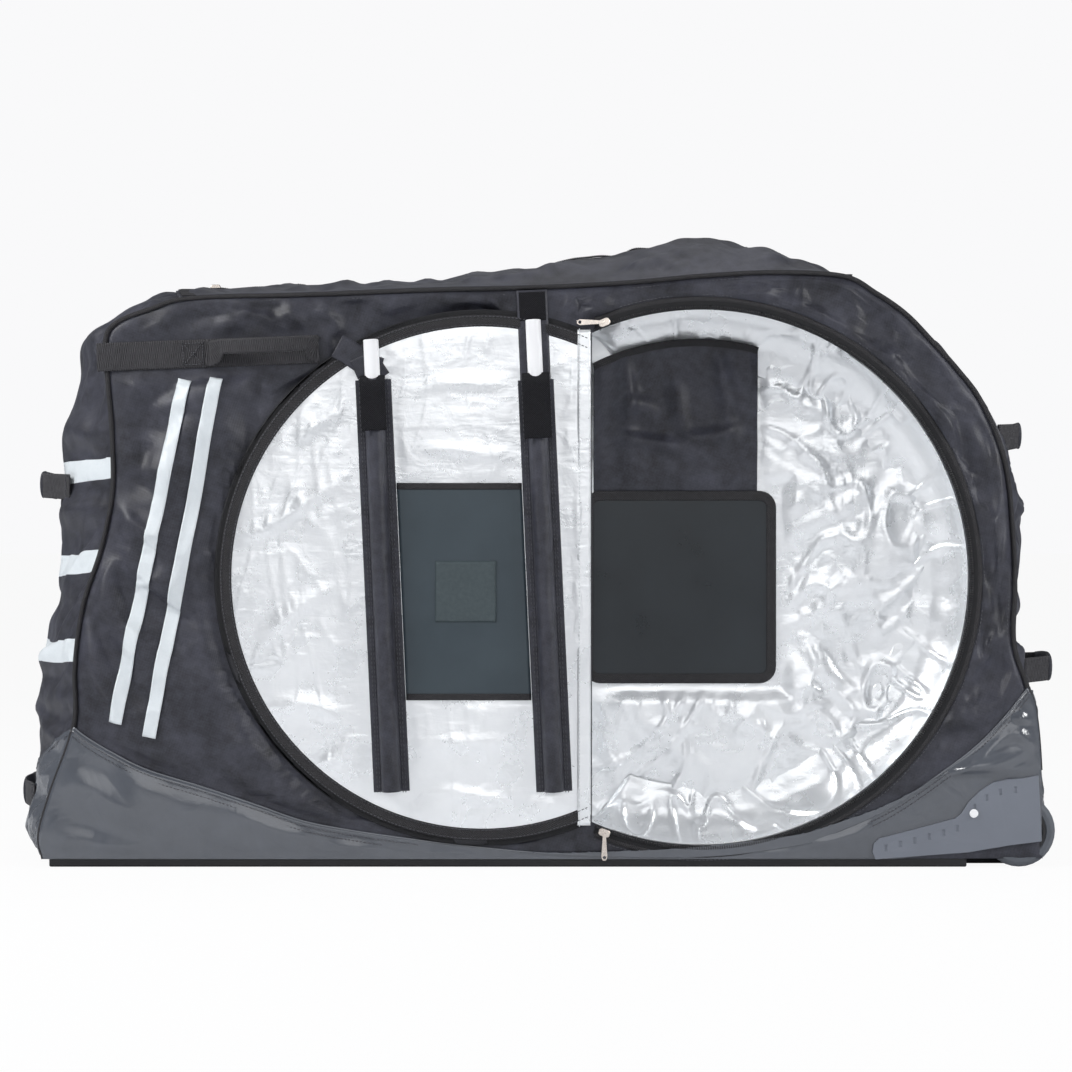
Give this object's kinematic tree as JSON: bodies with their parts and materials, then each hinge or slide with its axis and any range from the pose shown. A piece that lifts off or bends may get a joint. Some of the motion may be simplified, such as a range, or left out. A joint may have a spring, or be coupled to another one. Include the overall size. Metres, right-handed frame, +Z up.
{
  "type": "soft bike travel bag",
  "caption": "Soft padded travel bag for a bicycle, with a round zipped pocket flap on each side, a zipped lid, end grips and two rollers.",
  "frame": {"origin": "middle of the flat underside of the base tray, on the floor", "axes": "+X towards the roller end, +Z up, -Y towards the side pocket that stands open"},
  "size_m": [1.4277, 0.4392, 0.8422],
  "materials": {
    "black_nylon": "coated woven nylon, matte",
    "grey_tarpaulin": "coated tarpaulin, semi-gloss",
    "silver_lining": "foil-faced lining, soft sheen",
    "black_webbing": "woven webbing",
    "dark_binding": "zip tape and binding",
    "dark_plate": "satin sheet",
    "grey_plastic": "moulded, satin",
    "black_plastic": "moulded, satin",
    "roller_rubber": "grey polyurethane",
    "bright_metal": "nickel plated",
    "white_plastic": "smooth"
  },
  "bodies": {
    "bag": {"base_tray": "black_plastic", "floor_board": "black_plastic", "near_side_panel": "black_nylon", "far_side_panel": "black_nylon", "left_gusset": "black_nylon", "right_gusset": "black_nylon", "near_skirt": "grey_tarpaulin", "far_skirt": "grey_tarpaulin", "near_divider": "silver_lining", "far_divider": "silver_lining", "near_hub_plate": "dark_plate", "far_hub_plate": "dark_plate", "near_housing": "grey_plastic", "far_housing": "grey_plastic", "near_rivet": "white_plastic", "far_rivet": "white_plastic", "near_roller_axle": "bright_metal", "far_roller_axle": "bright_metal", "near_zip_track": "dark_binding", "far_zip_track": "dark_binding", "near_side_strip": "black_webbing", "far_side_strip": "black_webbing", "near_side_grip": "black_webbing", "far_side_grip": "black_webbing", "left_upper_grip": "black_webbing", "left_lower_grip": "black_webbing", "right_upper_grip": "black_webbing", "right_lower_grip": "black_webbing"},
    "near_flap": {"near_flap_panel": "silver_lining", "near_flap_zip": "dark_binding", "near_flap_plate": "dark_plate", "near_flap_pad": "dark_plate", "near_sleeve_left": "black_nylon", "near_sleeve_right": "black_nylon", "near_tab_left": "black_webbing", "near_tab_right": "black_webbing"},
    "near_left_rod": {"near_rod_left": "white_plastic"},
    "near_right_rod": {"near_rod_right": "white_plastic"},
    "far_flap": {"far_flap_panel": "silver_lining", "far_flap_zip": "dark_binding", "far_flap_plate": "dark_plate", "far_sleeve_left": "black_nylon", "far_sleeve_right": "black_nylon"},
    "far_left_rod": {"far_rod_left": "white_plastic"},
    "far_right_rod": {"far_rod_right": "white_plastic"},
    "near_lid": {"near_top_flap": "black_nylon", "top_zip_chain": "black_webbing"},
    "far_lid": {"far_top_flap": "black_nylon"},
    "lid_slider": {"top_slider": "bright_metal"},
    "near_roller": {"near_roller_tyre": "roller_rubber", "near_roller_hub": "black_plastic"},
    "far_roller": {"far_roller_tyre": "roller_rubber", "far_roller_hub": "black_plastic"},
    "near_upper_slider": {"near_slider_top": "bright_metal"},
    "near_lower_slider": {"near_slider_bottom": "bright_metal"},
    "near_upper_pull": {"near_pull_top": "bright_metal"},
    "near_lower_pull": {"near_pull_bottom": "bright_metal"},
    "far_upper_slider": {"far_slider_top": "bright_metal"},
    "far_lower_slider": {"far_slider_bottom": "bright_metal"}
  },
  "joints": [
    {"name": "near_flap_hinge", "type": "hinge", "parent": "bag", "child": "near_flap", "pos_m": [0.0636, -0.1803, 0.3806], "axis": [0, 0, 1], "range_deg": [0, 180]},
    {"name": "near_left_rod_slide", "type": "slide", "parent": "near_flap", "child": "near_left_rod", "axis": [0.0454, 0, -0.999], "range_m": [-0.45, 0]},
    {"name": "near_right_rod_slide", "type": "slide", "parent": "near_flap", "child": "near_right_rod", "axis": [0.0454, 0, -0.999], "range_m": [-0.45, 0]},
    {"name": "far_flap_hinge", "type": "hinge", "parent": "bag", "child": "far_flap", "pos_m": [0.0636, 0.1803, 0.3806], "axis": [0, 0, 1], "range_deg": [0, 180]},
    {"name": "far_left_rod_slide", "type": "slide", "parent": "far_flap", "child": "far_left_rod", "axis": [-0.0454, 0, -0.999], "range_m": [-0.04, 0]},
    {"name": "far_right_rod_slide", "type": "slide", "parent": "far_flap", "child": "far_right_rod", "axis": [-0.0454, 0, -0.999], "range_m": [-0.04, 0]},
    {"name": "near_lid_hinge", "type": "hinge", "parent": "bag", "child": "near_lid", "pos_m": [-0.46173, -0.1803, 0.74708], "axis": [0.9994, 0, 0.0352], "range_deg": [0, 150]},
    {"name": "far_lid_hinge", "type": "hinge", "parent": "bag", "child": "far_lid", "pos_m": [-0.46173, 0.1803, 0.74708], "axis": [-0.9994, 0, -0.0352], "range_deg": [0, 150]},
    {"name": "lid_slider_slide", "type": "slide", "parent": "near_lid", "child": "lid_slider", "axis": [0.9995, 0, 0.0311], "range_m": [0, 0.28]},
    {"name": "near_roller_spin", "type": "hinge", "parent": "bag", "child": "near_roller", "pos_m": [0.62566, -0.162, 0.0475], "axis": [0, 1, 0], "continuous": true},
    {"name": "far_roller_spin", "type": "hinge", "parent": "bag", "child": "far_roller", "pos_m": [0.62566, 0.162, 0.0475], "axis": [0, 1, 0], "continuous": true},
    {"name": "near_upper_slider_run", "type": "hinge", "parent": "bag", "child": "near_upper_slider", "pos_m": [0.2072, -0.18, 0.3806], "axis": [0, 1, 0], "range_deg": [0, 109]},
    {"name": "near_lower_slider_run", "type": "hinge", "parent": "bag", "child": "near_lower_slider", "pos_m": [0.2072, -0.18, 0.3806], "axis": [0, -1, 0], "range_deg": [0, 109]},
    {"name": "near_upper_pull_flip", "type": "hinge", "parent": "near_upper_slider", "child": "near_upper_pull", "pos_m": [0.0796, -0.1892, 0.7148], "axis": [0, 0, 1], "range_deg": [0, 160]},
    {"name": "near_lower_pull_flip", "type": "hinge", "parent": "near_lower_slider", "child": "near_lower_pull", "pos_m": [0.0796, -0.1892, 0.0464], "axis": [-1, 0, 0], "range_deg": [0, 150]},
    {"name": "far_upper_slider_run", "type": "hinge", "parent": "bag", "child": "far_upper_slider", "pos_m": [0.2072, 0.18, 0.3806], "axis": [0, -1, 0], "range_deg": [0, 109]},
    {"name": "far_lower_slider_run", "type": "hinge", "parent": "bag", "child": "far_lower_slider", "pos_m": [0.2072, 0.18, 0.3806], "axis": [0, 1, 0], "range_deg": [0, 109]}
  ]
}
